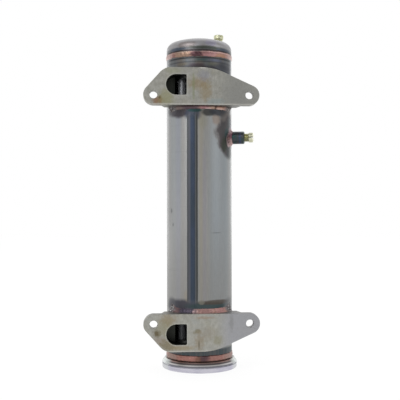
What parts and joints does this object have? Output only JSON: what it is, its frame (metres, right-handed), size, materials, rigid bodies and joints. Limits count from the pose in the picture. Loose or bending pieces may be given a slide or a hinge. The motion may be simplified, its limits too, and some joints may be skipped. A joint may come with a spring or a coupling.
{
  "type": "oil cooler",
  "caption": "Round shell-and-tube oil cooler with a domed end, a clamp collar, two flanged D-shaped side ports and a vent plug.",
  "frame": {"origin": "centre of the collar's open face, where the shell's axis crosses it", "axes": "+Z along the shell's axis towards the domed end, -Y the way the two flange faces look, +X towards the vent boss"},
  "size_m": [0.131, 0.087, 0.3924],
  "materials": {
    "shell_steel": "furnace-stained welded tube",
    "cap_steel": "drawn, furnace-stained",
    "turned_steel": "bright turned",
    "flange_steel": "ground, faintly stained",
    "boss_steel": "dark, heat-tinted",
    "inner_steel": "dull, furnace-stained",
    "tube_steel": "drawn",
    "copper_braze": "run copper, pink to dark purple",
    "plug_brass": "satin"
  },
  "bodies": {
    "root": {"baffle_1": "inner_steel", "baffle_2": "inner_steel", "baffle_3": "inner_steel", "cap_boss": "boss_steel", "cap_boss_braze": "copper_braze", "cap_plug": "plug_brass", "cooling_tube_01": "tube_steel", "cooling_tube_02": "tube_steel", "cooling_tube_03": "tube_steel", "cooling_tube_04": "tube_steel", "cooling_tube_05": "tube_steel", "cooling_tube_06": "tube_steel", "cooling_tube_07": "tube_steel", "cooling_tube_08": "tube_steel", "cooling_tube_09": "tube_steel", "cooling_tube_10": "tube_steel", "cooling_tube_11": "tube_steel", "cooling_tube_12": "tube_steel", "cooling_tube_13": "tube_steel", "cooling_tube_14": "tube_steel", "end_cap": "cap_steel", "end_cap_braze": "copper_braze", "end_collar": "turned_steel", "end_collar_braze": "copper_braze", "lower_port_flange": "flange_steel", "lower_saddle_braze": "copper_braze", "lower_tube_plate": "inner_steel", "pass_partition": "inner_steel", "shell_tube": "shell_steel", "upper_port_flange": "flange_steel", "upper_saddle_braze": "copper_braze", "upper_tube_plate": "inner_steel", "vent_boss": "boss_steel", "vent_boss_braze": "copper_braze", "vent_plug": "plug_brass"}
  },
  "joints": []
}
